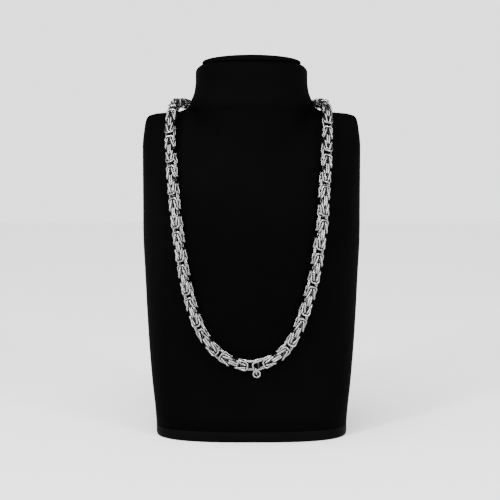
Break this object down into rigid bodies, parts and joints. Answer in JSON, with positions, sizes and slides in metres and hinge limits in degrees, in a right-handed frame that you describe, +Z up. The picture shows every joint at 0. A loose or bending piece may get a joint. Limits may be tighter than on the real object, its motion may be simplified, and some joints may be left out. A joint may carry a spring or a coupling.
{
  "type": "byzantine chain on a neck bust",
  "caption": "A silver byzantine chain necklace of interlocked round-wire links with a small bail and jump ring at its centre, closed round a plain black display bust.",
  "frame": {"origin": "On the surface that the bust stands on, under the middle of the object's box", "axes": "+Z up, -Y toward the front of the bust, +X toward the viewer's right"},
  "size_m": [0.172, 0.1189, 0.299],
  "materials": {
    "bust_velvet": "matte black flocked cover",
    "plinth_black": "matte black base",
    "silver": "polished silver wire, darker in the recesses of the weave"
  },
  "bodies": {
    "root": {"display_bust": "bust_velvet", "base_plinth": "plinth_black", "neck_cap": "bust_velvet", "right_chain": "silver", "left_chain": "silver", "bail_link": "silver", "jump_ring": "silver", "clasp": "silver"}
  },
  "joints": []
}
